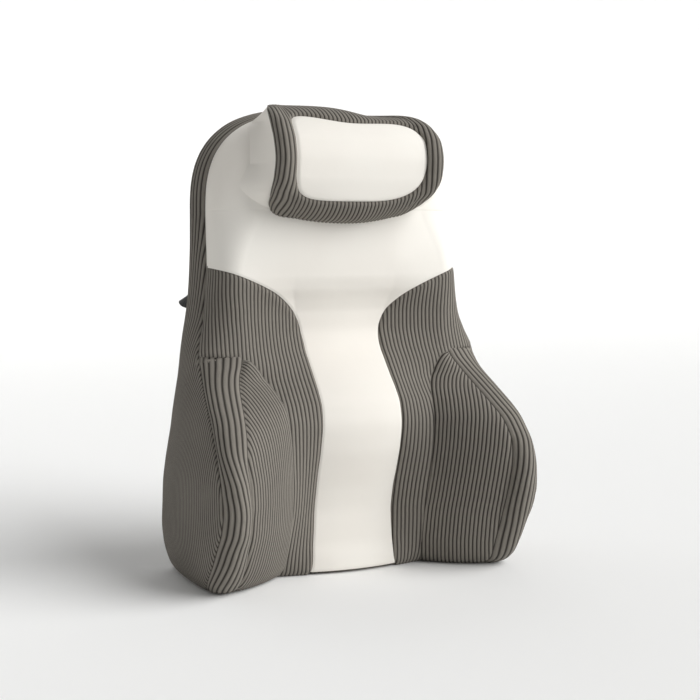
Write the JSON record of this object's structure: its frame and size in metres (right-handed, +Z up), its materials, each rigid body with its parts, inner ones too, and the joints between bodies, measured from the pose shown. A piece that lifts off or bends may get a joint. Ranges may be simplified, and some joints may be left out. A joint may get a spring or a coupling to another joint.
{
  "type": "lumbar support pillow",
  "caption": "Tall upright back pillow for a chair: crowned back pad with a cream front, puffed corduroy side wings, a head roll and a slack strap behind.",
  "frame": {"origin": "on the floor, under the middle of the whole, strap included", "axes": "+Z up, the front of the pillow faces -Y, +X is to the right seen from the front"},
  "size_m": [0.4576, 0.2816, 0.597],
  "materials": {
    "corduroy": "taupe-grey wide-wale corduroy",
    "cream_cloth": "smooth matt warm white knit",
    "webbing": "black woven webbing"
  },
  "bodies": {
    "root": {"back_pad": "corduroy", "front_column": "cream_cloth", "front_yoke": "cream_cloth", "wing_right": "corduroy", "wing_left": "corduroy", "head_roll": "cream_cloth", "head_roll_band": "corduroy", "strap": "webbing"}
  },
  "joints": []
}
